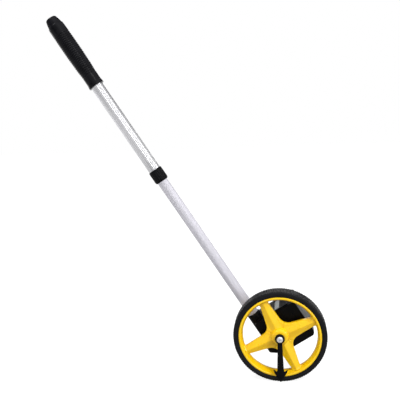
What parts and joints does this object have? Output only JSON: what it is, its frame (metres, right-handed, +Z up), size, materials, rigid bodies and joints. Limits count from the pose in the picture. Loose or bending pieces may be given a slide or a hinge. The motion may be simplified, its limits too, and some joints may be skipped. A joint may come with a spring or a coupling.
{
  "type": "measuring wheel",
  "caption": "Distance measuring wheel: spoked wheel on an axle, geared drum counter behind it, plumb pointer, and a two-stage telescopic handle with a twist-lock collar.",
  "frame": {"origin": "on the axle's axis, at the flat outer face of the rear cover", "axes": "+Y along the axle, from the wheel to the rear cover; +Z up with the wheel standing on the ground; +X forward, the handle leans back over -X"},
  "size_m": [0.4701, 0.1198, 0.6375],
  "materials": {
    "wheel_yellow": "smooth moulded, glossy",
    "tyre_black": "fine cross-ribbed tread",
    "housing_black": "semi-gloss moulded",
    "dark_plastic": "satin moulded",
    "grip_black": "ribbed soft grip",
    "tube_aluminium": "fine fluted, bright",
    "steel_plain": "turned",
    "screw_bright": "bright plated",
    "bush_brass": "turned",
    "counter_white": "moulded",
    "lens_clear": "clear plastic window"
  },
  "bodies": {
    "housing": {"front_case": "housing_black", "rear_cover": "housing_black", "cover_screw_1": "steel_plain", "cover_screw_2": "steel_plain", "cover_screw_3": "steel_plain", "cover_screw_4": "steel_plain", "axle": "steel_plain", "front_washer": "steel_plain", "thrust_washer": "steel_plain", "pointer_screw": "screw_bright", "counter_frame": "dark_plastic", "pinion_shaft": "steel_plain", "idler_pin": "steel_plain", "window_lens": "lens_clear", "window_bezel": "housing_black", "socket_screw": "steel_plain", "lower_tube": "tube_aluminium", "tube_end_bush": "counter_white"},
    "wheel": {"spoked_wheel": "wheel_yellow", "tyre": "tyre_black", "front_bush": "bush_brass", "rear_bush": "bush_brass", "drive_gear": "counter_white"},
    "pointer": {"pointer": "housing_black"},
    "counter_drum_1": {"counter_gear": "counter_white", "number_drum_1": "counter_white"},
    "counter_drum_2": {"number_drum_2": "counter_white"},
    "counter_drum_3": {"number_drum_3": "counter_white"},
    "counter_drum_4": {"number_drum_4": "counter_white"},
    "counter_drum_5": {"number_drum_5": "counter_white"},
    "transfer_1": {"transfer_pinion_1": "counter_white"},
    "transfer_2": {"transfer_pinion_2": "counter_white"},
    "transfer_3": {"transfer_pinion_3": "counter_white"},
    "transfer_4": {"transfer_pinion_4": "counter_white"},
    "reset_knob": {"reset_knob": "housing_black", "reset_shaft": "steel_plain", "reset_pinion": "bush_brass"},
    "reset_idler": {"reset_idler": "bush_brass"},
    "zero_shaft": {"drum_shaft": "steel_plain", "shaft_gear": "bush_brass"},
    "upper_handle": {"upper_tube": "tube_aluminium", "tube_cap": "dark_plastic", "grip": "grip_black", "lock_sleeve": "dark_plastic"},
    "lock_collar": {"lock_collar": "housing_black"}
  },
  "joints": [
    {"name": "wheel_spin", "type": "hinge", "parent": "housing", "child": "wheel", "pos_m": [0, -0.088, 0], "axis": [0, 1, 0], "continuous": true},
    {"name": "pointer_swing", "type": "hinge", "parent": "housing", "child": "pointer", "pos_m": [0, -0.088, 0], "axis": [0, 1, 0], "continuous": true},
    {"name": "handle_slide", "type": "slide", "parent": "housing", "child": "upper_handle", "axis": [-0.5358, 0, 0.8443], "range_m": [-0.25, 0.025]},
    {"name": "collar_twist", "type": "hinge", "parent": "upper_handle", "child": "lock_collar", "pos_m": [-0.20588, -0.045, 0.2744], "axis": [-0.5358, 0, 0.8443], "range_deg": [0, 90]},
    {"name": "reset_turn", "type": "hinge", "parent": "housing", "child": "reset_knob", "pos_m": [0.02477, 0, 0.04178], "axis": [0, 1, 0], "continuous": true},
    {"name": "drum_1_turn", "type": "hinge", "parent": "housing", "child": "counter_drum_1", "pos_m": [0.01421, -0.034, 0.02296], "axis": [0, 1, 0], "continuous": true},
    {"name": "drum_2_turn", "type": "hinge", "parent": "housing", "child": "counter_drum_2", "pos_m": [0.01421, -0.034, 0.02296], "axis": [0, 1, 0], "continuous": true},
    {"name": "drum_3_turn", "type": "hinge", "parent": "housing", "child": "counter_drum_3", "pos_m": [0.01421, -0.034, 0.02296], "axis": [0, 1, 0], "continuous": true},
    {"name": "drum_4_turn", "type": "hinge", "parent": "housing", "child": "counter_drum_4", "pos_m": [0.01421, -0.034, 0.02296], "axis": [0, 1, 0], "continuous": true},
    {"name": "drum_5_turn", "type": "hinge", "parent": "housing", "child": "counter_drum_5", "pos_m": [0.01421, -0.034, 0.02296], "axis": [0, 1, 0], "continuous": true},
    {"name": "transfer_1_turn", "type": "hinge", "parent": "housing", "child": "transfer_1", "pos_m": [0.03034, -0.034, 0.01453], "axis": [0, 1, 0], "continuous": true},
    {"name": "transfer_2_turn", "type": "hinge", "parent": "housing", "child": "transfer_2", "pos_m": [0.03034, -0.034, 0.01453], "axis": [0, 1, 0], "continuous": true},
    {"name": "transfer_3_turn", "type": "hinge", "parent": "housing", "child": "transfer_3", "pos_m": [0.03034, -0.034, 0.01453], "axis": [0, 1, 0], "continuous": true},
    {"name": "transfer_4_turn", "type": "hinge", "parent": "housing", "child": "transfer_4", "pos_m": [0.03034, -0.034, 0.01453], "axis": [0, 1, 0], "continuous": true},
    {"name": "reset_idler_turn", "type": "hinge", "parent": "housing", "child": "reset_idler", "pos_m": [0.02674, -0.004, 0.03156], "axis": [0, 1, 0], "continuous": true},
    {"name": "zero_shaft_turn", "type": "hinge", "parent": "housing", "child": "zero_shaft", "pos_m": [0.01421, -0.034, 0.02296], "axis": [0, 1, 0], "continuous": true}
  ],
  "couplings": [
    {"joint": "drum_1_turn", "follows": "wheel_spin", "ratio": -0.5},
    {"joint": "drum_2_turn", "follows": "wheel_spin", "ratio": -0.05},
    {"joint": "drum_3_turn", "follows": "wheel_spin", "ratio": -0.005},
    {"joint": "drum_4_turn", "follows": "wheel_spin", "ratio": -0.0005},
    {"joint": "drum_5_turn", "follows": "wheel_spin", "ratio": -0.00005},
    {"joint": "transfer_1_turn", "follows": "wheel_spin", "ratio": 0.125},
    {"joint": "transfer_2_turn", "follows": "wheel_spin", "ratio": 0.0125},
    {"joint": "transfer_3_turn", "follows": "wheel_spin", "ratio": 0.00125},
    {"joint": "transfer_4_turn", "follows": "wheel_spin", "ratio": 0.000125},
    {"joint": "reset_idler_turn", "follows": "reset_turn", "ratio": -0.44444},
    {"joint": "zero_shaft_turn", "follows": "reset_turn", "ratio": 0.4}
  ]
}
